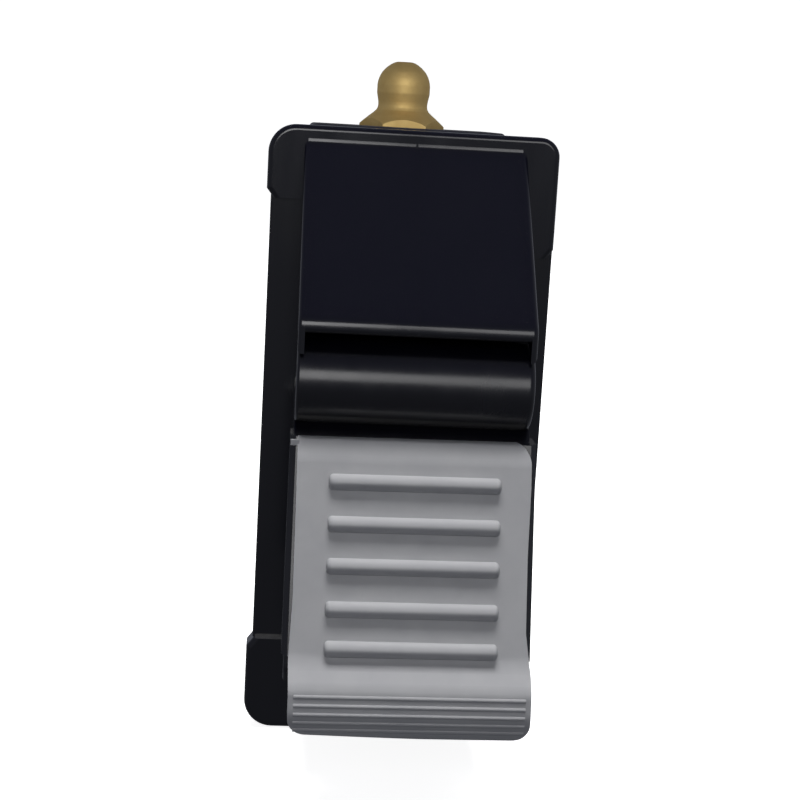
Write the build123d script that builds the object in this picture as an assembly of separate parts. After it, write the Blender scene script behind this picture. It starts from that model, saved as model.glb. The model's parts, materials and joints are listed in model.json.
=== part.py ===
from build123d import *
import math
import os

# Hand lever air valve for a seat: a two-piece moulded front housing with a
# flange, a sprung lever with a grip pad, and a spool valve block behind it.
#
# Frame: X across the valve (seam of the two housing halves at X = 0),
# Y from the front (-Y, lever side) to the back (+Y, valve block),
# Z up, along the long side. The origin is the centre of the four threaded
# inserts, on the flange's back face. Millimetres.

# ---------------------------------------------------------------- flange
rail_half_w = {-1: 20.55, 1: 20.7}      # side rails, left and right
top_half_w = {-1: 21.15, 1: 20.7}       # over the top tab
bottom_half_w = {-1: 21.4, 1: 20.7}     # over the bottom tab
flange_half_h = 45.0        # half height
flange_t = 3.0              # rail thickness (front at Y = -3)
tab_t = 4.2                 # tab thickness (front at Y = -4.2)
tab_top_left_z = 34.5       # lower edge of the top tab, left side
tab_top_right_z = 27.7      # lower edge of the top tab, right side
tab_bottom_z = -31.1        # upper edge of the bottom tab, both sides
corner_top_r = {-1: 4.0, 1: 2.8}
corner_bottom_r = 4.2
insert_x = 18.3             # four threaded inserts
insert_z = 39.5
insert_r = 2.1
insert_bore_r = 1.25
insert_depth = 3.3

# ---------------------------------------------------------------- front body
body_half_w = 16.0
body_side_r = {-1: 0.5, 1: 0.8}         # rounding of the body's side edges, left and right
wall = 1.8
ramp_top = (-4.2, 42.5)     # (Y, Z) where the ramp leaves the flange face
ridge = (-25.7, 19.86)      # (Y, Z) ridge corner before rounding
ridge_r = 2.3
under_z = 18.1              # underside of the ridge
under_r = 0.7               # rounding of the ridge's lower edge
cheek_in_x = 15.1           # cheeks close the groove at both ends
cheek_z = 15.3              # lower tip of the cheeks
seam_gap = 0.0              # half gap between the two mouldings: they close face to face
seam_step = 0.15            # half width and depth of the seam groove
neck_half_w = 14.6          # neck behind the flange, through the panel
neck_wall = 1.6
neck_z0, neck_z1 = -21.0, 38.0
neck_y = 12.0

# ---------------------------------------------------------------- lever
pivot_y, pivot_z = -20.6, 11.3
barrel_r = 6.0
saddle_r = 6.5
lever_half_w = 15.95
frame_x0, frame_x1 = -16.4, 16.95       # the black frame shows on both sides of the pad
frame_top_z = 4.0
pin_r = 2.0
bush_r = 3.0
bush_bore_r = 2.03
lug_x0, lug_x1 = 7.0, 10.0
lug_r = 4.4
face_tilt = 14.8            # the grip face leans out at the bottom, degrees
face_y0, face_z0 = -26.2, 3.8
pad_t = 1.75                # grip pad thickness
pad_x0, pad_x1 = -15.5, 16.1
pad_top_z = 4.25
rib_z = (-1.25, -6.65, -12.02, -17.49, -22.5)
rib_r = 1.1
rib_sunk = 0.05             # how far a rib's centre line lies below the face
rib_len = 23.0
rib_mid_x = 0.4
pad_skew = 0.5              # the pad sits half a degree askew on the lever

# ---------------------------------------------------------------- valve block
blk_half_w = 15.0
blk_y0, blk_y1 = 12.0, 39.0
blk_z0, blk_z1 = -21.4, 41.4
gasket_t = 0.6
cover_z1 = 45.2
fitting_sunk = 2.0          # the fitting's seat lies this deep in the cover
spool_y = 19.5
port_y = 31.0
z_supply, z_outlet = 31.2, 25.0
silencer_z = 8.0
spool_r = 3.95
sleeve_r = 6.0
sleeve_bore_r = 4.0
sleeve_z0 = 18.6
stem_r = 2.5
stem_z0 = -15.0
link_pin_r = 1.5
collar_z0, collar_z1 = -8.0, -6.5
spring_room_r = 5.5
shelf_z0, shelf_z1 = 2.2, 4.2
plug_z1 = -17.5
body_screw_x = 11.0
body_screw_z = (29.0, -16.0)
cover_screw_x = 11.5
cover_screw_y = (15.8, 35.2)
cross_screw_y = 4.0
cross_screw_z = (21.5, -6.0)

os.makedirs("parts", exist_ok=True)
nodes = {}


def save(name, shape, group=False):
    """One STEP per piece; a group keeps identical pieces as separate solids."""
    if not group:
        solids = shape.solids()
        if len(solids) != 1:
            print("NOTE", name, "has", len(solids), "solids", [round(s.volume, 2) for s in solids])
    nodes[name] = shape
    export_step(shape, f"parts/{name}.step")


def box(x0, x1, y0, y1, z0, z1):
    return Pos((x0 + x1) / 2, (y0 + y1) / 2, (z0 + z1) / 2) * Box(x1 - x0, y1 - y0, z1 - z0)


def cyl_x(r, x0, x1, y, z):
    return Pos((x0 + x1) / 2, y, z) * Rot(0, 90, 0) * Cylinder(r, x1 - x0)


def cyl_y(r, y0, y1, x, z):
    return Pos(x, (y0 + y1) / 2, z) * Rot(90, 0, 0) * Cylinder(r, y1 - y0)


def cyl_z(r, z0, z1, x, y):
    return Pos(x, y, (z0 + z1) / 2) * Cylinder(r, z1 - z0)


def hex_z(across_flats, z0, z1, x, y):
    r = across_flats / math.sqrt(3)
    return Pos(x, y, z0) * extrude(RegularPolygon(r, 6), z1 - z0)


def outline(pts, rounds=None, to_plane=None):
    """Closed outline with rounded corners; rounds maps a point's index to a radius."""
    rounds = rounds or {}
    n = len(pts)
    ends = []
    for i, p in enumerate(pts):
        r = rounds.get(i, 0)
        if r <= 0:
            ends.append((p, None, p))
            continue
        a, b = pts[i - 1], pts[(i + 1) % n]
        ux, uy = a[0] - p[0], a[1] - p[1]
        vx, vy = b[0] - p[0], b[1] - p[1]
        lu, lv = math.hypot(ux, uy), math.hypot(vx, vy)
        ux, uy, vx, vy = ux / lu, uy / lu, vx / lv, vy / lv
        half = math.acos(max(-1, min(1, ux * vx + uy * vy))) / 2
        t = r / math.tan(half)
        bx, by = ux + vx, uy + vy
        lb = math.hypot(bx, by)
        bx, by = bx / lb, by / lb
        k = r / math.sin(half)
        ends.append(((p[0] + ux * t, p[1] + uy * t), (p[0] + bx * (k - r), p[1] + by * (k - r)), (p[0] + vx * t, p[1] + vy * t)))
    edges = []
    for i in range(n):
        s0, mid, s1 = ends[i]
        nxt = ends[(i + 1) % n][0]
        if mid is not None:
            edges.append(ThreePointArc(s0, mid, s1))
        if math.hypot(nxt[0] - s1[0], nxt[1] - s1[1]) > 1e-6:
            edges.append(Line(s1, nxt))
    return Face(Wire(edges))


def inset(pts, rounds, d):
    """The same outline moved inwards by d (points listed clockwise or not)."""
    n = len(pts)
    area = sum(pts[i - 1][0] * pts[i][1] - pts[i][0] * pts[i - 1][1] for i in range(n))
    sgn = 1 if area > 0 else -1
    lines = []
    for i in range(n):
        a, b = pts[i], pts[(i + 1) % n]
        dx, dy = b[0] - a[0], b[1] - a[1]
        ln = math.hypot(dx, dy)
        nx, ny = -dy / ln * sgn * d, dx / ln * sgn * d
        lines.append(((a[0] + nx, a[1] + ny), (dx / ln, dy / ln)))
    out, rr = [], {}
    for i in range(n):
        (p, u), (q, v) = lines[i - 1], lines[i]
        den = u[0] * v[1] - u[1] * v[0]
        t = ((q[0] - p[0]) * v[1] - (q[1] - p[1]) * v[0]) / den
        out.append((p[0] + u[0] * t, p[1] + u[1] * t))
        if i in rounds:
            rr[i] = rounds[i] - d * (1 if den * sgn > 0 else -1)
    return out, rr


def prism_x(pts, x0, x1, rounds=None):
    """Outline given as (Y, Z) points, extruded along X."""
    return extrude(Plane.YZ.offset(x0) * outline(pts, rounds), x1 - x0)


def slab_y(pts, y0, y1, rounds=None):
    """Outline given as (X, Z) points, extruded along Y."""
    return extrude(Plane.XZ.offset(-y0) * outline(pts, rounds), y0 - y1)


def try_fillet(shape, edges, r, what):
    edges = list(edges)
    try:
        out = fillet(edges, r)
        if out.is_valid and out.volume > 0 and len(out.solids()) == len(shape.solids()):
            return out
    except Exception:
        pass
    # one by one where the set fails
    out = shape
    done = 0
    for e in edges:
        c = e.center()
        near = [k for k in out.edges() if (k.center() - c).length < 0.05 and abs(k.length - e.length) < 0.3]
        if not near:
            continue
        try:
            t = fillet(near[0], r)
            if t.is_valid and t.volume > 0 and len(t.solids()) == len(shape.solids()):
                out = t
                done += 1
        except Exception:
            pass
    print("NOTE rounding", what, "edges done", done, "of", len(edges))
    return out


# ================================================================ housing
F = lambda z: face_y0 - math.tan(math.radians(face_tilt)) * (face_z0 - z)

outer = [
    (-1.0, 43.9), (-4.2, 43.9), ramp_top, ridge, (ridge[0], cheek_z), (pivot_y, cheek_z),
    (pivot_y, pivot_z), (-17.8, 4.0), (-22.6, -23.0), (-23.6, -29.2), (-22.4, -31.05), (-1.0, -31.05),
]
outer_rounds = {2: 1.6, 3: ridge_r, 9: 1.6}
cavity = [
    (-2.9, 38.2), (-4.4, 38.2), (-22.6, 19.6), (pivot_y, 19.6), (pivot_y, pivot_z),
    (-15.9, 3.6), (-20.8, -23.0), (-21.6, -29.2), (-2.9, -29.2),
]


def housing_half(side, tab_top_z):
    """The right half (side = 1) is built directly; the left one is its mirror image."""
    # front body: a shallow groove runs along the seam
    main = prism_x(outer, seam_step, body_half_w, outer_rounds)
    sides = [e for e in main.edges() if abs(e.center().X - body_half_w) < 1e-4
             and e.center().Y < -3.5 and not (e.center().Y > -24.0 and 3 < e.center().Z < 16)]
    main = try_fillet(main, sides, body_side_r[side], "body side")
    inner_pts, inner_rounds = inset(outer, outer_rounds, seam_step)
    lip = prism_x(inner_pts, seam_gap, seam_step, inner_rounds)
    body = main + lip
    # groove above the barrel, closed by a cheek at each end
    body -= prism_x([(-30, cheek_z - 1), (pivot_y, cheek_z - 1), (pivot_y, under_z), (ridge[0], under_z),
                     (ridge[0], under_z + 1.5), (-30, under_z + 1.5)], -1, cheek_in_x, {3: under_r})
    body -= cyl_x(saddle_r, -1, 20, pivot_y, pivot_z)
    hollow = prism_x(cavity, -1, body_half_w - wall) - cyl_x(saddle_r + 1.6, -2, 20, pivot_y, pivot_z)
    body -= hollow
    # window for the actuator arm in the saddle wall
    body -= box(-1, 6.3, -16.5, -10.0, pivot_z - 4.0, pivot_z + 4.0)

    # flange: rail, top tab, bottom tab
    rail_w, top_w, bot_w = rail_half_w[side], top_half_w[side], bottom_half_w[side]
    rail = slab_y([(seam_gap, -44.5), (rail_w, -44.5), (rail_w, 44.5), (seam_gap, 44.5)],
                  -flange_t, 0, {1: 3.5, 2: 3.5})
    rail = try_fillet(rail, [e for e in rail.edges() if abs(e.center().X - rail_w) < 1e-4
                             and abs(e.center().Y + flange_t) < 1e-4], 0.4, "rail")
    c = 1.0
    top = slab_y([(seam_gap, tab_top_z), (top_w - c, tab_top_z), (top_w, tab_top_z + 1.3), (top_w, flange_half_h),
                  (seam_gap, flange_half_h)], -tab_t, 0, {3: corner_top_r[side]})
    bot = slab_y([(seam_gap, -flange_half_h), (bot_w, -flange_half_h), (bot_w, tab_bottom_z - 1.3),
                  (bot_w - c, tab_bottom_z), (seam_gap, tab_bottom_z)], -tab_t, 0, {1: corner_bottom_r})
    for name in ("top", "bot"):
        t = top if name == "top" else bot
        es = [e for e in t.edges() if abs(e.center().Y + tab_t) < 1e-4 and e.center().X > seam_gap + 0.5
              and (e.center().Z > tab_top_z + 0.2 if name == "top" else e.center().Z < tab_bottom_z - 0.2)]
        t = try_fillet(t, es, 0.8, name + " tab")
        if name == "top":
            top = t
        else:
            bot = t
    flange = rail + top + bot
    half = body + flange
    # flange window and the neck behind it
    half -= box(-1, neck_half_w - neck_wall, -3.6, 1, neck_z0 + neck_wall, neck_z1 - neck_wall)
    neck = box(seam_gap, neck_half_w, -0.5, neck_y, neck_z0, neck_z1) - box(-1, neck_half_w - neck_wall, -2, neck_y + 1, neck_z0 + neck_wall, neck_z1 - neck_wall)
    for z in body_screw_z:
        neck += cyl_y(3.0, 3.0, neck_y, body_screw_x, z) + box(body_screw_x, neck_half_w - 0.2, 3.0, neck_y, z - 2.0, z + 2.0)
    for z in cross_screw_z:
        neck += cyl_x(2.9, seam_gap, neck_half_w - 0.2, cross_screw_y, z)
    half += neck
    for z in body_screw_z:
        half -= cyl_y(1.25, 4.0, neck_y + 1, body_screw_x, z)
    # lug with the seat for the pivot bush
    lug = cyl_x(lug_r, lug_x0, lug_x1, pivot_y, pivot_z) + box(lug_x0, lug_x1, pivot_y, pivot_y + saddle_r + 1.0, pivot_z - lug_r, pivot_z + lug_r)
    half += lug
    half -= cyl_x(bush_r, lug_x0 - 1, lug_x1 + 1, pivot_y, pivot_z)
    # seat for a threaded insert at the back of each tab
    for z in (insert_z, -insert_z):
        half -= cyl_y(insert_r, -insert_depth, 1, insert_x, z)
    if side < 0:
        for z in cross_screw_z:
            half -= cyl_x(1.25, -1, 12.0, cross_screw_y, z)
        half = mirror(half, Plane.YZ)
    else:
        for z in cross_screw_z:
            half -= cyl_x(1.6, -1, 20, cross_screw_y, z)
            half -= cyl_x(3.0 - 0.35, 7.0, 20, cross_screw_y, z)
    return half


save("housing_right", housing_half(1, tab_top_right_z))
save("housing_left", housing_half(-1, tab_top_left_z))

# threaded inserts in the four tabs
inserts = []
for sx in (-1, 1):
    for z in (insert_z, -insert_z):
        t = cyl_y(insert_r, -insert_depth, 0, sx * insert_x, z) - cyl_y(insert_bore_r, -insert_depth - 1, 1, sx * insert_x, z)
        inserts.append(t)
save("panel_inserts", Compound(children=inserts), group=True)

# bushes in the two lugs
bushes = []
for sx in (-1, 1):
    x0, x1 = sorted((sx * lug_x0, sx * lug_x1))
    bushes.append(cyl_x(bush_r, x0, x1, pivot_y, pivot_z) - cyl_x(bush_bore_r, x0 - 1, x1 + 1, pivot_y, pivot_z))
save("pivot_bushes", Compound(children=bushes), group=True)

# two screws across the seam, heads sunk in the right half
cross = []
for z in cross_screw_z:
    s = cyl_x(1.25, -10.5, 7.0, cross_screw_y, z) + cyl_x(2.5, 7.0, 9.0, cross_screw_y, z)
    s -= Pos(9.0 - 0.6, cross_screw_y, z) * Box(1.6, 3.2, 0.7)
    s -= Pos(9.0 - 0.6, cross_screw_y, z) * Box(1.6, 0.7, 3.2)
    cross.append(s)
save("cross_screws", Compound(children=cross), group=True)

# ================================================================ lever
G = lambda z: F(z) + pad_t / math.cos(math.radians(face_tilt))
core = cyl_x(barrel_r, -lever_half_w, lever_half_w, pivot_y, pivot_z)
for end_x, end_r in ((-lever_half_w, 0.45), (lever_half_w, 0.9)):
    core = try_fillet(core, [e for e in core.edges() if abs(e.center().X - end_x) < 1e-3], end_r, "barrel ends")
arm_outer = [(G(frame_top_z), frame_top_z), (G(-24.2), -24.2), (G(-24.2) + 5.0, -24.2), (-19.0, 5.5), (-18.4, 9.0),
             (-22.0, 9.0), (-22.4, 5.9)]
arm = prism_x(arm_outer, frame_x0, frame_x1)
arm = chamfer([e for e in arm.edges() if min(abs(e.center().X - frame_x0), abs(e.center().X - frame_x1)) < 1e-3
               and e.length > 20 and abs(e.center().Y - G(e.center().Z)) < 0.2], 0.8)
# above the frame the arm is no wider than the barrel
for x0, x1 in ((frame_x0 - 1, -lever_half_w), (lever_half_w, frame_x1 + 1)):
    arm -= box(x0, x1, -26, -10, frame_top_z + 0.05, 12)
arm -= prism_x([(G(3.4) + 2.0, 3.4), (G(-22.4) + 2.0, -22.4), (-15.0, -22.4), (-15.0, 3.4)], frame_x0 + 1.7, frame_x1 - 1.7)
# stiffening ribs inside the lever
for x in (-5.0, 5.0):
    arm += prism_x([(G(3.6) + 0.5, 3.6), (G(-23.0) + 0.5, -23.0), (G(-23.0) + 3.4, -23.0), (G(3.6) + 4.2, 3.6)], x - 0.7, x + 0.7)
core = core + arm
for sx in (-1, 1):
    x0, x1 = sorted((sx * (lug_x0 - 0.3), sx * (lug_x1 + 0.3)))
    core -= cyl_x(4.9, x0, x1, pivot_y, pivot_z)
    core -= box(x0, x1, pivot_y, pivot_y + 9, pivot_z - 6.6, pivot_z + 6.6)
# pocket for the hub of the actuator arm
core -= cyl_x(4.5, -5.5, 5.5, pivot_y, pivot_z) + box(-5.5, 5.5, pivot_y, pivot_y + 9, pivot_z - 4.5, pivot_z + 4.5)
core -= cyl_x(pin_r, -20, 20, pivot_y, pivot_z)
save("lever_core", core)

# grip pad: a ribbed face that flares out into a finger lip
pad_outline = [
    (F(1.7), 1.7), (F(-24.2), -24.2), (-36.1, -27.0), (-36.6, -30.9), (-35.4, -34.1), (-33.7, -34.1),
    (-34.3, -29.2), (-32.6, -26.2), (G(-24.4), -24.4), (G(pad_top_z), pad_top_z), (F(4.1) + 1.1, 4.1),
]
pad = prism_x(pad_outline, pad_x0 - 0.3, pad_x1 + 0.3, {0: 2.6, 1: 5.0, 2: 3.0, 3: 4.5, 4: 1.2, 6: 1.5, 10: 0.7})
# front view: the lip is a little wider than the face and its edge runs slightly down to the right
pad &= slab_y([(pad_x0 - 0.12, -33.35), (2.0, -33.95), (pad_x1 + 0.25, -33.9), (pad_x1 + 0.25, -25.0),
               (pad_x1 - 0.4, -20.0), (pad_x1 - 0.4, -10.5), (pad_x1 - 0.1, -1.5), (pad_x1 - 0.1, pad_top_z + 0.1),
               (pad_x0 + 0.1, pad_top_z + 0.1), (pad_x0 + 0.1, -16.0), (pad_x0 - 0.25, -24.0),
               (pad_x0 - 0.12, -28.0)], -60, 0, {0: 2.4, 2: 2.4, 7: 2.6})
n_y, n_z = -math.cos(math.radians(face_tilt)), math.sin(math.radians(face_tilt))
for z in rib_z:
    y = F(z) - n_y * rib_sunk
    zz = z - n_z * rib_sunk
    rib = cyl_x(rib_r, rib_mid_x - rib_len / 2, rib_mid_x + rib_len / 2, y, zz)
    rib = fillet(rib.edges().filter_by(GeomType.CIRCLE), 0.6)
    pad += rib
# fine ridges across the rounded lip, each centred 0.27 below the surface
for y, z in ((-36.241, -28.1), (-36.388, -29.25), (-36.494, -30.4), (-36.347, -31.5), (-35.963, -32.6)):
    pad += cyl_x(0.4, pad_x0 + 0.6, pad_x1 - 0.5, y + 0.27, z)
ear = box(pad_x0 - 0.85, pad_x0 + 0.3, F(3.4) + 0.75, G(3.4) - 0.35, 3.15, 3.85)
pad += ear
pad = pad.rotate(Axis((0.3, F(pad_top_z), pad_top_z), (0, n_y, n_z)), pad_skew)
save("grip_pad", pad)

# actuator arm: hub round the pin, bar to the back, fork round the spool stem
tip_y = spool_y + 3.6
act = cyl_x(4.5, -5.5, 5.5, pivot_y, pivot_z) + box(-5.5, 5.5, pivot_y, tip_y, pivot_z - 2.5, pivot_z + 2.5)
act -= box(-2.9, 2.9, spool_y - 4.2, tip_y + 1, pivot_z - 4, pivot_z + 4)
act -= box(-6, 6, spool_y, tip_y + 1, pivot_z - 1.65, pivot_z + 1.65) + cyl_x(1.65, -6, 6, spool_y, pivot_z)
act -= cyl_x(pin_r, -20, 20, pivot_y, pivot_z)
act -= box(-3.2, 3.2, -9.0, 8.0, pivot_z - 4, pivot_z + 4)
save("actuator_arm", act)

pin = cyl_x(pin_r, -15.4, 15.4, pivot_y, pivot_z)
pin = try_fillet(pin, [e for e in pin.edges() if abs(abs(e.center().X) - 15.4) < 1e-3], 0.3, "pin ends")
save("pivot_pin", pin)

# ================================================================ valve block
blk = box(-blk_half_w, blk_half_w, blk_y0, blk_y1, blk_z0, blk_z1)
blk = try_fillet(blk, [e for e in blk.edges() if abs(abs(e.center().X) - blk_half_w) < 1e-3 and abs(e.center().Y - (blk_y0 + blk_y1) / 2) > 5
                       and abs(e.center().Z - (blk_z0 + blk_z1) / 2) < 1], 2.0, "block corners")
# side lightening pockets, left and right
for sx in (-1, 1):
    x0, x1 = sorted((sx * 12.6, sx * 20))
    blk -= box(x0, x1, 20.5, 33.0, -9.5, 22.5)
blk -= cyl_z(sleeve_r, sleeve_z0, blk_z1 + 1, 0, spool_y)
blk -= box(-6.3, 6.3, blk_y0 - 1, 27.0, shelf_z1, sleeve_z0)
blk -= cyl_z(stem_r + 0.06, shelf_z0 - 1, shelf_z1 + 1, 0, spool_y)
blk -= cyl_z(spring_room_r, blk_z0 - 1, shelf_z0, 0, spool_y)
blk -= cyl_z(7.0, blk_z0 - 1, plug_z1, 0, spool_y)
blk -= cyl_z(2.4, z_supply - 1.5, blk_z1 + 1, 0, port_y)
blk -= cyl_z(4.0, 35.0, blk_z1 + 1, 0, port_y)
blk -= cyl_y(1.2, spool_y, port_y, 0, z_supply)
blk -= cyl_y(1.5, spool_y, blk_y1 + 1, 0, z_outlet)
blk -= cyl_y(4.0, blk_y1 - 7.0, blk_y1 + 1, 0, z_outlet)
blk -= cyl_y(2.0, 20.0, blk_y1 + 1, 0, silencer_z)
blk -= cyl_y(3.0, blk_y1 - 5.0, blk_y1 + 1, 0, silencer_z)
for sx in (-1, 1):
    for z in body_screw_z:
        blk -= cyl_y(1.6, blk_y0 - 1, 20, sx * body_screw_x, z)
        blk -= cyl_y(3.1, 18.0, blk_y1 + 1, sx * body_screw_x, z)
    for y in cover_screw_y:
        blk -= cyl_z(1.25, 33.6, blk_z1 + 1, sx * cover_screw_x, y)
save("valve_body", blk)

# sleeve with supply and outlet ports
slv = cyl_z(sleeve_r, sleeve_z0, blk_z1, 0, spool_y) - cyl_z(sleeve_bore_r, sleeve_z0 - 1, blk_z1 + 1, 0, spool_y)
for z in (z_supply, z_outlet):
    ring = cyl_z(sleeve_r + 1, z - 1.5, z + 1.5, 0, spool_y) - cyl_z(5.2, z - 2, z + 2, 0, spool_y)
    slv -= ring
    slv -= cyl_x(0.9, -8, 8, spool_y, z) + cyl_y(0.9, spool_y - 8, spool_y + 8, 0, z)
sleeve_seal_z = (21.4, 28.1, 34.6, 38.6)
for z in sleeve_seal_z:
    slv -= cyl_z(sleeve_r + 1, z - 0.75, z + 0.75, 0, spool_y) - cyl_z(4.95, z - 1, z + 1, 0, spool_y)
save("valve_sleeve", slv)
seals = [Pos(0, spool_y, z) * Torus(5.47, 0.5) for z in sleeve_seal_z]
save("sleeve_seals", Compound(children=seals), group=True)

# spool with three seal grooves, a vent bore and a long stem
spool_top = 38.0
spool_seal_z = (22.8, 27.2, 36.4)
sp = cyl_z(spool_r, 21.9, spool_top, 0, spool_y) + cyl_z(stem_r, stem_z0, 22.5, 0, spool_y)
for z in spool_seal_z:
    sp -= cyl_z(spool_r + 1, z - 0.75, z + 0.75, 0, spool_y) - cyl_z(2.9, z - 1, z + 1, 0, spool_y)
for z0, z1 in ((28.7, 34.9), (24.3, 25.7)):
    sp -= cyl_z(spool_r + 1, z0, z1, 0, spool_y) - cyl_z(2.6, z0 - 1, z1 + 1, 0, spool_y)
sp -= cyl_z(0.9, 17.0, spool_top + 1, 0, spool_y)
sp -= cyl_y(0.8, spool_y, spool_y + 5, 0, 18.2)
sp -= cyl_x(link_pin_r, -5, 5, spool_y, pivot_z)
sp -= cyl_z(4.5, collar_z0 - 0.8, collar_z0, 0, spool_y) - cyl_z(2.1, collar_z0 - 1, collar_z0 + 1, 0, spool_y)
save("spool", sp)
spool_rings = [Pos(0, spool_y, z) * Torus(3.45, 0.53) for z in spool_seal_z]
save("spool_seals", Compound(children=spool_rings), group=True)

save("link_pin", cyl_x(link_pin_r, -5.3, 5.3, spool_y, pivot_z))
save("spring_collar", cyl_z(5.2, collar_z0, collar_z1, 0, spool_y) - cyl_z(stem_r, collar_z0 - 1, collar_z1 + 1, 0, spool_y))
clip = cyl_z(3.5, collar_z0 - 0.8, collar_z0, 0, spool_y) - cyl_z(2.1, collar_z0 - 2, collar_z0 + 1, 0, spool_y)
clip -= box(-1.6, 1.6, spool_y, spool_y + 5, collar_z0 - 1, collar_z0 + 0.5)
save("collar_clip", clip)


def spring(z0, z1, turns, r, wire):
    h = z1 - z0 - 2 * wire - 0.1
    path = Helix(pitch=h / turns, height=h, radius=r)
    prof = Plane(origin=path @ 0, z_dir=path % 0) * Circle(wire)
    coil = sweep(prof, path=path, is_frenet=True)
    return Pos(0, spool_y, z0 + wire + 0.05) * coil


save("upper_spring", spring(collar_z1, shelf_z0, 4.5, 4.2, 0.45))
save("lower_spring", spring(plug_z1, collar_z0, 4.5, 4.3, 0.45))

# bottom plug: closes the spring room and guides the stem's end
plug = cyl_z(7.0, blk_z0, plug_z1, 0, spool_y) + hex_z(14.0, blk_z0 - 2.6, blk_z0, 0, spool_y)
plug -= cyl_z(stem_r + 0.06, blk_z0 - 1.2, plug_z1 + 1, 0, spool_y)
save("bottom_plug", plug)

# top cover with its gasket and four sunk screws
cov = box(-blk_half_w, blk_half_w, blk_y0, blk_y1, blk_z1 + gasket_t, cover_z1)
cov = try_fillet(cov, [e for e in cov.edges() if abs(e.center().Z - (blk_z1 + gasket_t + cover_z1) / 2) < 0.1], 2.0, "cover corners")
cov = try_fillet(cov, [e for e in cov.edges() if abs(e.center().Z - cover_z1) < 1e-3], 0.8, "cover top")
gas = box(-blk_half_w + 0.4, blk_half_w - 0.4, blk_y0 + 0.4, blk_y1 - 0.4, blk_z1, blk_z1 + gasket_t)
gas = try_fillet(gas, [e for e in gas.edges() if abs(e.center().Z - (blk_z1 + gasket_t / 2)) < 0.1], 1.8, "gasket corners")
cov -= cyl_z(4.4, blk_z1, blk_z1 + 2.2, 0, spool_y)
gas -= cyl_z(4.4, blk_z1 - 1, blk_z1 + 2, 0, spool_y)
cov -= cyl_z(4.2, blk_z1 - 1, cover_z1 + 1, 0, port_y)
cov -= cyl_z(7.4, cover_z1 - fitting_sunk, cover_z1 + 1, 0, port_y)
gas -= cyl_z(4.2, blk_z1 - 1, blk_z1 + 2, 0, port_y)
cscrews = []
for sx in (-1, 1):
    for y in cover_screw_y:
        cov -= cyl_z(1.6, blk_z1 - 1, cover_z1 + 1, sx * cover_screw_x, y) + cyl_z(2.9, cover_z1 - 2.2, cover_z1 + 1, sx * cover_screw_x, y)
        gas -= cyl_z(1.6, blk_z1 - 1, blk_z1 + 2, sx * cover_screw_x, y)
        s = cyl_z(1.25, 35.0, cover_z1 - 2.2, sx * cover_screw_x, y) + cyl_z(2.7, cover_z1 - 2.2, cover_z1 - 0.3, sx * cover_screw_x, y)
        s = try_fillet(s, [e for e in s.edges() if abs(e.center().Z - (cover_z1 - 0.3)) < 1e-3], 0.5, "cover screw")
        s -= Pos(sx * cover_screw_x, y, cover_z1 - 0.6) * Box(3.4, 0.7, 1.4)
        s -= Pos(sx * cover_screw_x, y, cover_z1 - 0.6) * Box(0.7, 3.4, 1.4)
        cscrews.append(s)
save("top_cover", cov)
save("cover_gasket", gas)
save("cover_screws", Compound(children=cscrews), group=True)

# four long screws that hold the block on the neck
bscrews = []
for sx in (-1, 1):
    for z in body_screw_z:
        s = cyl_y(1.25, 4.6, 18.0, sx * body_screw_x, z) + cyl_y(2.7, 18.0, 20.2, sx * body_screw_x, z)
        s -= Pos(sx * body_screw_x, 20.0, z) * Box(3.4, 1.8, 0.7)
        s -= Pos(sx * body_screw_x, 20.0, z) * Box(0.7, 1.8, 3.4)
        bscrews.append(s)
save("body_screws", Compound(children=bscrews), group=True)


# barbed hose fitting, built along +Z with its seat at Z = 0
def fitting(thread_len, across_flats=12.0, bore=1.25):
    seat_gap = 0.6            # thickness of the sealing washer below the hexagon
    prof = [
        (bore, -thread_len), (3.6, -thread_len), (4.0, -thread_len + 0.5), (4.0, 0.0), (3.6, seat_gap),
        (6.93, seat_gap), (6.93, 2.35), (6.1, 3.1), (5.45, 3.65), (4.7, 4.25), (4.28, 4.65), (4.07, 5.05),
        (4.0, 5.5), (4.02, 5.95), (4.1, 6.4), (4.19, 6.85), (4.27, 7.25), (4.3, 7.5), (4.3, 8.7), (4.21, 9.3),
        (4.07, 9.8), (3.88, 10.25), (3.6, 10.75), (3.22, 11.2), (2.75, 11.65), (2.2, 12.05), (1.7, 12.32), (bore, 12.45),
    ]
    clean = [prof[0]]
    for p in prof[1:]:
        if p != clean[-1]:
            clean.append(p)
    f = revolve(Plane.XZ * make_face(Polyline(*clean, close=True)), Axis.Z)
    keep = hex_z(across_flats, seat_gap, 4.7, 0, 0) + cyl_z(5.0, -thread_len - 1, seat_gap, 0, 0) + cyl_z(7.5, 4.7, 13, 0, 0)
    f &= keep
    return f


washer = cyl_z(6.4, 0, 0.6, 0, 0) - cyl_z(4.05, -1, 2, 0, 0)
seat_z = cover_z1 - fitting_sunk
save("supply_fitting", Pos(0, port_y, seat_z) * fitting(seat_z - 36.0))
save("supply_washer", Pos(0, port_y, seat_z) * washer)
to_back = Pos(0, blk_y1, z_outlet) * Rot(-90, 0, 0)
save("outlet_fitting", to_back * fitting(6.4))
save("outlet_washer", to_back * washer)

# strainer disc in the supply way
scr = cyl_z(2.35, 34.2, 34.9, 0, port_y)
for dx, dy in ((0, 0), (1.2, 0), (-1.2, 0), (0, 1.2), (0, -1.2)):
    scr -= cyl_z(0.35, 33, 36, dx, port_y + dy)
save("inlet_screen", scr)

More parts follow.
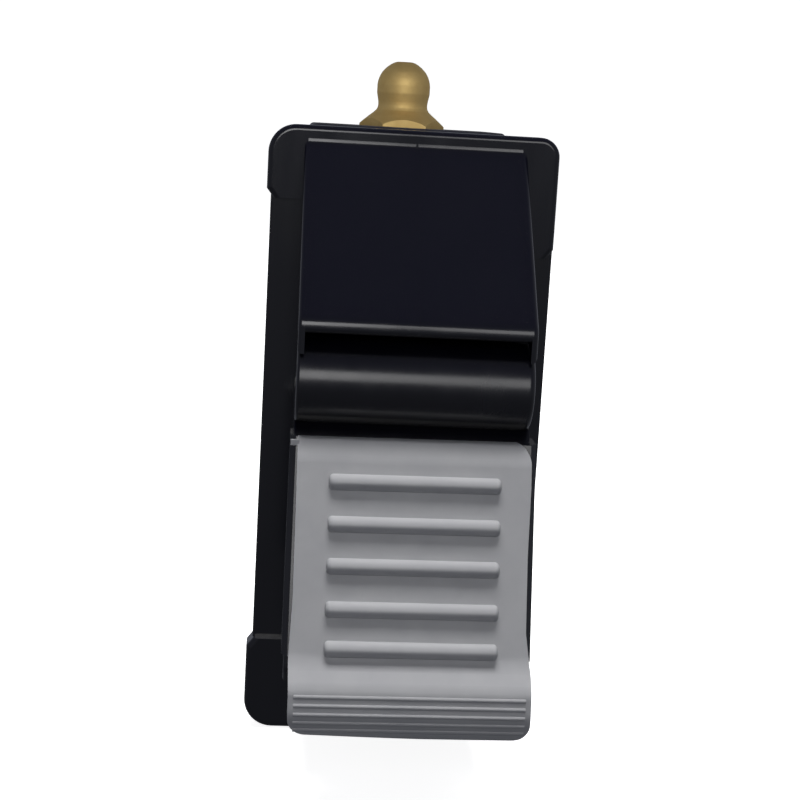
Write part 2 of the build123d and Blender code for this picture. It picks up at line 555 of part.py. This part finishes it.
# exhaust silencer: threaded hexagon with a porous dome
sil = cyl_z(3.0, -4.6, 0, 0, 0) + hex_z(9.0, 0, 2.6, 0, 0)
sil -= cyl_z(2.0, -6, 2.0, 0, 0)
dome = cyl_z(3.4, 2.6, 8.2, 0, 0)
dome = try_fillet(dome, [e for e in dome.edges() if abs(e.center().Z - 8.2) < 1e-3], 2.2, "silencer dome")
back = Pos(0, blk_y1, silencer_z) * Rot(-90, 0, 0)
save("silencer_base", back * sil)
save("silencer_dome", back * dome)

print("nodes", len(nodes))
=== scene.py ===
import json
import math

import bmesh
import bpy
from mathutils import Matrix, Vector


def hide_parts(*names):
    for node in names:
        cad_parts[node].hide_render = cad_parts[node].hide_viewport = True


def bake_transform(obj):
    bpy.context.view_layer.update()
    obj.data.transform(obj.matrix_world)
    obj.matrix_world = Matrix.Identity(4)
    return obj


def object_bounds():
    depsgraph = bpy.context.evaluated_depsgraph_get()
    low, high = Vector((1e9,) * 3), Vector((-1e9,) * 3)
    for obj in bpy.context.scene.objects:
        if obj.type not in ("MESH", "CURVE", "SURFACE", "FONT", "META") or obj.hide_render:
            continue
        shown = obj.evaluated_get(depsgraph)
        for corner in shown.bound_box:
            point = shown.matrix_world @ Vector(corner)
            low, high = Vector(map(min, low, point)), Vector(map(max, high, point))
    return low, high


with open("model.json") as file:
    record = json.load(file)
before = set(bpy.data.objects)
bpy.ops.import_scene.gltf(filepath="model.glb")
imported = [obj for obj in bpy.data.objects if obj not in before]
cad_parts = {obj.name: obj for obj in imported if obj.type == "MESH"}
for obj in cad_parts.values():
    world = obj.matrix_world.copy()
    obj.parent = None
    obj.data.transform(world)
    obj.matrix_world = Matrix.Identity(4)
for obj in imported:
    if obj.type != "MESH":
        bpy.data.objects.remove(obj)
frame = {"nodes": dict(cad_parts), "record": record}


def plain(b):
    return [[float(v) for v in c] for c in b]


cad_box = plain(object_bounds())
MM = 0.001
scene = bpy.context.scene
nodes = frame["nodes"]


# ------------------------------------------------------------------ camera
def place_camera():
    az, el, roll = math.radians(-4.42), math.radians(9.83), math.radians(3.24)
    target = Vector((-0.34, -3.0, 5.8)) * MM
    back = Vector((math.sin(az) * math.cos(el), -math.cos(az) * math.cos(el), math.sin(el)))
    right = (-back).cross(Vector((0, 0, 1))).normalized()
    up = right.cross(-back).normalized()
    cx = right * math.cos(roll) + up * math.sin(roll)
    cy = -right * math.sin(roll) + up * math.cos(roll)
    pos = target + back * (238.6 * MM)
    m = Matrix((
        (cx.x, cy.x, back.x, pos.x),
        (cx.y, cy.y, back.y, pos.y),
        (cx.z, cy.z, back.z, pos.z),
        (0, 0, 0, 1),
    ))
    data = bpy.data.cameras.new("camera")
    data.lens = 72.9
    data.sensor_width = 36.0
    data.clip_start = 0.005
    data.clip_end = 20.0
    cam = bpy.data.objects.new("camera", data)
    cam.matrix_world = m
    scene.collection.objects.link(cam)
    scene.camera = cam
    return cam


place_camera()


# ------------------------------------------------------------------ materials
class Mat:
    """Small helper around a node tree; every texture reads the piece's own coordinates, in millimetres."""

    def __init__(self, name):
        self.m = bpy.data.materials.new(name)
        self.m.use_nodes = True
        self.t = self.m.node_tree
        self.t.nodes.clear()
        self.out = self.t.nodes.new("ShaderNodeOutputMaterial")
        self.b = self.t.nodes.new("ShaderNodeBsdfPrincipled")
        self.t.links.new(self.b.outputs[0], self.out.inputs["Surface"])
        co = self.t.nodes.new("ShaderNodeTexCoord")
        sc = self.t.nodes.new("ShaderNodeMapping")
        sc.inputs["Scale"].default_value = (1000, 1000, 1000)
        self.t.links.new(co.outputs["Object"], sc.inputs["Vector"])
        self.co = sc.outputs[0]

    def link(self, a, b):
        self.t.links.new(a, b)

    def mapped(self, scale=(1, 1, 1), rot=(0, 0, 0)):
        n = self.t.nodes.new("ShaderNodeMapping")
        n.inputs["Scale"].default_value = scale
        n.inputs["Rotation"].default_value = rot
        self.link(self.co, n.inputs["Vector"])
        return n.outputs[0]

    def noise(self, scale, detail=4.0, rough=0.5, co=None, distort=0.0):
        n = self.t.nodes.new("ShaderNodeTexNoise")
        n.inputs["Scale"].default_value = scale
        n.inputs["Detail"].default_value = detail
        n.inputs["Roughness"].default_value = rough
        n.inputs["Distortion"].default_value = distort
        self.link(co or self.co, n.inputs["Vector"])
        return n.outputs["Fac"]

    def voronoi(self, scale, co=None, feature="F1"):
        n = self.t.nodes.new("ShaderNodeTexVoronoi")
        n.feature = feature
        n.inputs["Scale"].default_value = scale
        self.link(co or self.co, n.inputs["Vector"])
        return n.outputs["Distance"]

    def wave(self, scale, axis="Z", distort=0.0, co=None):
        n = self.t.nodes.new("ShaderNodeTexWave")
        n.wave_type = "BANDS"
        n.bands_direction = axis
        n.inputs["Scale"].default_value = scale
        n.inputs["Distortion"].default_value = distort
        self.link(co or self.co, n.inputs["Vector"])
        return n.outputs["Fac"]

    def ramp(self, fac, *stops):
        n = self.t.nodes.new("ShaderNodeValToRGB")
        els = n.color_ramp.elements
        while len(els) < len(stops):
            els.new(0.5)
        for e, (p, c) in zip(els, stops):
            e.position = p
            e.color = (c, c, c, 1) if isinstance(c, (int, float)) else (*c, 1)
        self.link(fac, n.inputs["Fac"])
        return n.outputs["Color"]

    def math(self, op, a, b):
        n = self.t.nodes.new("ShaderNodeMath")
        n.operation = op
        for i, v in enumerate((a, b)):
            if isinstance(v, (int, float)):
                n.inputs[i].default_value = v
            else:
                self.link(v, n.inputs[i])
        return n.outputs[0]

    def mix(self, fac, a, b):
        n = self.t.nodes.new("ShaderNodeMix")
        n.data_type = "RGBA"
        if isinstance(fac, (int, float)):
            n.inputs[0].default_value = fac
        else:
            self.link(fac, n.inputs[0])
        for i, v in ((6, a), (7, b)):
            if isinstance(v, tuple):
                n.inputs[i].default_value = (*v, 1)
            else:
                self.link(v, n.inputs[i])
        return n.outputs[2]

    def bump(self, height, strength, distance_mm, normal=None):
        n = self.t.nodes.new("ShaderNodeBump")
        n.inputs["Strength"].default_value = strength
        n.inputs["Distance"].default_value = distance_mm * MM
        self.link(height, n.inputs["Height"])
        if normal is not None:
            self.link(normal, n.inputs["Normal"])
        return n.outputs["Normal"]

    def set(self, **kw):
        for k, v in kw.items():
            s = self.b.inputs[k.replace("_", " ")]
            if isinstance(v, bpy.types.NodeSocket):
                self.link(v, s)
            else:
                s.default_value = v if not isinstance(v, tuple) else (*v, 1) if len(v) == 3 else v
        return self.m


def gloss_black(name, dark, light, rough=(0.14, 0.2), coat=0.0):
    """Moulded gloss plastic: faint flow marks in the finish and a slight orange peel."""
    m = Mat(name)
    cloud = m.noise(0.05, 2.0, 0.5)
    col = m.mix(cloud, dark, light)
    peel = m.noise(0.9, 1.0, 0.4)
    flow = m.noise(0.2, 3.0, 0.5, co=m.mapped((1.0, 1.0, 0.3)))
    rgh = m.ramp(flow, (0.35, rough[0]), (0.7, rough[1]))
    n = m.bump(peel, 0.1, 0.01)
    m.set(Base_Color=col, Roughness=rgh, Normal=n, Coat_Weight=coat)
    m.b.inputs["Specular IOR Level"].default_value = 0.5
    return m.m


def satin_plastic(name, a, b, rough=(0.42, 0.58), grain=0.5, strength=0.35):
    m = Mat(name)
    cloud = m.noise(0.18, 4.0, 0.6)
    col = m.mix(m.ramp(cloud, (0.3, 0.0), (0.72, 1.0)), a, b)
    fine = m.noise(9.0, 4.0, 0.65)
    rgh = m.ramp(m.noise(0.5, 5.0, 0.6), (0.3, rough[0]), (0.7, rough[1]))
    n = m.bump(fine, strength, 0.02 * grain)
    m.set(Base_Color=col, Roughness=rgh, Normal=n)
    return m.m


def metal(name, a, b, rough=(0.2, 0.34), rings=None, ring_axis="Z", tarnish=0.5, bump=0.4):
    """Turned or formed metal: cloudy tarnish, tool rings round the axis, fine grain."""
    m = Mat(name)
    spots = m.noise(0.45, 4.0, 0.55)
    col = m.mix(m.ramp(spots, (0.35, 0.0), (0.68, tarnish)), a, b)
    fine = m.noise(4.0, 3.0, 0.55)
    rgh = m.ramp(m.math("ADD", m.math("MULTIPLY", fine, 0.5), m.math("MULTIPLY", spots, 0.5)), (0.3, rough[0]), (0.7, rough[1]))
    h = fine
    if rings:
        h = m.math("ADD", m.math("MULTIPLY", m.wave(rings, ring_axis, 0.6), 0.75), m.math("MULTIPLY", fine, 0.25))
    n = m.bump(h, bump, 0.003)
    m.set(Base_Color=col, Metallic=1.0, Roughness=rgh, Normal=n)
    return m.m


def rubber(name):
    m = Mat(name)
    col = m.mix(m.noise(1.0, 3.0), (0.012, 0.012, 0.013), (0.03, 0.03, 0.03))
    m.set(Base_Color=col, Roughness=m.ramp(m.noise(3.0, 4.0), (0.3, 0.55), (0.7, 0.75)), Normal=m.bump(m.noise(8.0, 4.0), 0.3, 0.02))
    return m.m


def sintered(name, a, b):
    m = Mat(name)
    v = m.voronoi(5.5)
    # grain tone with painted shade: the colour runs darker into the crevices between grains, where the bump sinks
    col = m.mix(m.ramp(v, (0.1, 0.0), (0.7, 1.0)), a, b)
    m.set(Base_Color=col, Metallic=1.0, Roughness=m.ramp(v, (0.0, 0.38), (0.8, 0.75)), Normal=m.bump(v, 1.0, -0.12))
    return m.m


M = {
    "housing_black": gloss_black("housing_black", (0.0017, 0.0017, 0.0060), (0.0025, 0.0025, 0.0074)),
    "lever_black": gloss_black("lever_black", (0.0017, 0.0017, 0.0054), (0.0025, 0.0025, 0.0066), (0.2, 0.28)),
    "block_black": satin_plastic("block_black", (0.008, 0.008, 0.012), (0.014, 0.014, 0.019)),
    "pad_grey": satin_plastic("pad_grey", (0.425, 0.425, 0.44), (0.465, 0.465, 0.475), (0.44, 0.56), 0.6, 0.3),
    "collar_plastic": satin_plastic("collar_plastic", (0.50, 0.49, 0.44), (0.58, 0.57, 0.52)),
    "brass": metal("brass", (0.93, 0.70, 0.30), (0.80, 0.57, 0.22), (0.6, 0.7), 1.4),
    "brass_back": metal("brass_back", (0.93, 0.70, 0.30), (0.80, 0.57, 0.22), (0.6, 0.7), 1.4, "Y"),
    "sleeve_brass": metal("sleeve_brass", (0.68, 0.50, 0.22), (0.5, 0.34, 0.14), (0.18, 0.3), 1.6),
    "bush_bronze": sintered("bush_bronze", (0.45, 0.27, 0.12), (0.28, 0.16, 0.07)),
    "silencer_bronze": sintered("silencer_bronze", (0.48, 0.33, 0.16), (0.22, 0.14, 0.06)),
    "zinc_steel": metal("zinc_steel", (0.62, 0.63, 0.64), (0.45, 0.45, 0.46), (0.24, 0.4)),
    "arm_steel": metal("arm_steel", (0.52, 0.53, 0.55), (0.36, 0.36, 0.38), (0.28, 0.45), 0.9, "Y"),
    "pin_steel": metal("pin_steel", (0.6, 0.6, 0.62), (0.45, 0.45, 0.46), (0.14, 0.24), 1.8, "X", 0.3),
    "spring_steel": metal("spring_steel", (0.45, 0.45, 0.47), (0.28, 0.27, 0.27), (0.2, 0.34)),
    "spool_alloy": metal("spool_alloy", (0.74, 0.75, 0.77), (0.6, 0.6, 0.62), (0.16, 0.28), 1.8),
    "washer_alloy": metal("washer_alloy", (0.74, 0.74, 0.74), (0.58, 0.58, 0.58), (0.3, 0.42)),
    "seal_rubber": rubber("seal_rubber"),
}
M["cover_black"] = M["block_black"]
M["plug_black"] = M["block_black"]

slots = {s["node"]: s["material_slot"] for s in frame["record"]["subparts"]}
for name, obj in nodes.items():
    mat = M[slots[name]]
    if name == "outlet_fitting" or name == "silencer_base":
        mat = M["brass_back"]
    obj.data.materials.clear()
    obj.data.materials.append(mat)

def add_mesh(name, verts, faces):
    me = bpy.data.meshes.new(name)
    me.from_pydata(verts, [], faces)
    me.update()
    ob = bpy.data.objects.new(name, me)
    scene.collection.objects.link(ob)
    return ob


# ------------------------------------------------------------------ the two springs, drawn as wire coils
def coil(name, node, z0, z1, turns, r, wire):
    """A wire coil about the spool's axis, from z0 to z1 (mm)."""
    spool_y, per_turn, ring = 19.5, 28, 10
    h = z1 - z0 - 2 * wire - 0.1
    steps = int(per_turn * turns)
    verts, faces = [], []
    for i in range(steps + 1):
        a = 2 * math.pi * turns * i / steps
        c = Vector((r * math.cos(a), spool_y + r * math.sin(a), z0 + wire + 0.05 + h * i / steps))
        out = Vector((math.cos(a), math.sin(a), 0))
        along = Vector((-r * math.sin(a), r * math.cos(a), h / (2 * math.pi * turns))).normalized()
        side = along.cross(out)
        for k in range(ring):
            b = 2 * math.pi * k / ring
            verts.append((c + wire * (math.cos(b) * out + math.sin(b) * side)) * MM)
    for i in range(steps):
        for k in range(ring):
            p, q = i * ring + k, i * ring + (k + 1) % ring
            faces.append((p, q, q + ring, p + ring))
    faces.append(tuple(reversed(range(ring))))
    faces.append(tuple(steps * ring + k for k in range(ring)))
    ob = add_mesh(name, verts, faces)
    bm = bmesh.new()
    bm.from_mesh(ob.data)
    bmesh.ops.recalc_face_normals(bm, faces=bm.faces[:])
    bm.to_mesh(ob.data)
    bm.free()
    for f in ob.data.polygons:
        f.use_smooth = len(f.vertices) == 4
    ob.data.materials.append(M["spring_steel"])
    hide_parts(node)
    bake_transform(ob)
    return ob


coil("upper_spring_coil", "upper_spring", -6.5, 2.2, 4.5, 4.2, 0.45)
coil("lower_spring_coil", "lower_spring", -17.5, -8.0, 4.5, 4.3, 0.45)


# ------------------------------------------------------------------ floor, light
def studio():
    z = cad_box[0][2] - 0.0002
    # floor that turns up into a backdrop far behind the part
    rad, back_y, top = 0.8, 1.6, 3.0
    prof = [(-2.0, z), (back_y, z)]
    for i in range(1, 17):
        a = math.pi / 2 * i / 16
        prof.append((back_y + rad * math.sin(a), z + rad * (1 - math.cos(a))))
    prof.append((back_y + rad, z + top))
    verts = [(sx * 3.0, y, h) for y, h in prof for sx in (-1, 1)]
    faces = [(2 * i, 2 * i + 1, 2 * i + 3, 2 * i + 2) for i in range(len(prof) - 1)]
    floor = add_mesh("floor", verts, faces)
    for p in floor.data.polygons:
        p.use_smooth = True
    m = Mat("floor")
    m.set(Base_Color=m.mix(m.noise(0.01, 2.0), (0.80, 0.80, 0.80), (0.82, 0.82, 0.82)), Roughness=0.9)
    m.b.inputs["Emission Color"].default_value = (1, 1, 1, 1)
    m.b.inputs["Emission Strength"].default_value = 0.9
    m.b.inputs["Specular IOR Level"].default_value = 0.0
    floor.data.materials.append(m.m)
    floor.visible_glossy = False
    floor.visible_diffuse = False

    def area(name, az, el, dist, w, h, power, target=(0, -20, 5), color=(1, 1, 1), shine=True, soft=True):
        a, e = math.radians(az), math.radians(el)
        t = Vector(target) * MM
        back = Vector((math.sin(a) * math.cos(e), -math.cos(a) * math.cos(e), math.sin(e)))
        data = bpy.data.lights.new(name, "AREA")
        data.shape = "RECTANGLE"
        data.size, data.size_y = w, h
        data.energy = power
        data.color = color
        ob = bpy.data.objects.new(name, data)
        ob.location = t + back * dist
        ob.rotation_euler = back.to_track_quat("Z", "Y").to_euler()
        scene.collection.objects.link(ob)
        ob.visible_glossy = shine
        ob.visible_diffuse = soft
        return ob

    # two upright soft boxes in front, side by side, and a soft box overhead
    area("front_left", -6, 19, 1.2, 0.36, 0.46, 2.8, soft=False)
    area("front_right", 15, 19, 1.2, 0.36, 0.46, 1.6, soft=False)
    area("fill", -5, 22, 1.2, 0.9, 0.5, 1.2, shine=False)
    area("top", -8, 85, 1.0, 0.6, 0.34, 11.0, shine=False)
    area("back", 170, 40, 1.0, 0.9, 0.6, 3.0, shine=False)

    w = bpy.data.worlds.new("world")
    scene.world = w
    w.use_nodes = True
    t = w.node_tree
    t.nodes.clear()
    out = t.nodes.new("ShaderNodeOutputWorld")
    lp = t.nodes.new("ShaderNodeLightPath")
    seen = t.nodes.new("ShaderNodeBackground")
    seen.inputs["Color"].default_value = (1, 1, 1, 1)
    lit = t.nodes.new("ShaderNodeBackground")
    co = t.nodes.new("ShaderNodeTexCoord")
    sep = t.nodes.new("ShaderNodeSeparateXYZ")
    t.links.new(co.outputs["Generated"], sep.inputs[0])
    half = t.nodes.new("ShaderNodeMapRange")    # dim overhead and below, brighter round the horizon
    half.inputs["From Min"].default_value = -1.0
    half.inputs["From Max"].default_value = 1.0
    t.links.new(sep.outputs["Z"], half.inputs["Value"])
    up = t.nodes.new("ShaderNodeValToRGB")
    els = up.color_ramp.elements
    for p in (0.36, 0.48, 0.64):
        els.new(p)
    for e, (p, c) in zip(els, ((0.0, 0.14), (0.36, 0.20), (0.48, 0.30), (0.64, 0.27), (1.0, 0.13))):
        e.position = p
        e.color = (c, c, c, 1)
    t.links.new(half.outputs["Result"], up.inputs["Fac"])
    lit.inputs["Color"].default_value = (0.84, 0.88, 1.0, 1)
    dim = t.nodes.new("ShaderNodeMapRange")     # less light from around than gloss shows
    dim.inputs["To Min"].default_value = 1.0
    dim.inputs["To Max"].default_value = 0.6
    t.links.new(lp.outputs["Is Diffuse Ray"], dim.inputs["Value"])
    mul = t.nodes.new("ShaderNodeMath")
    mul.operation = "MULTIPLY"
    t.links.new(up.outputs["Color"], mul.inputs[0])
    t.links.new(dim.outputs["Result"], mul.inputs[1])
    t.links.new(mul.outputs[0], lit.inputs["Strength"])
    mx = t.nodes.new("ShaderNodeMixShader")
    t.links.new(lp.outputs["Is Camera Ray"], mx.inputs[0])
    t.links.new(lit.outputs[0], mx.inputs[1])
    t.links.new(seen.outputs[0], mx.inputs[2])
    t.links.new(mx.outputs[0], out.inputs["Surface"])
    scene.view_settings.view_transform = "Standard"


studio()
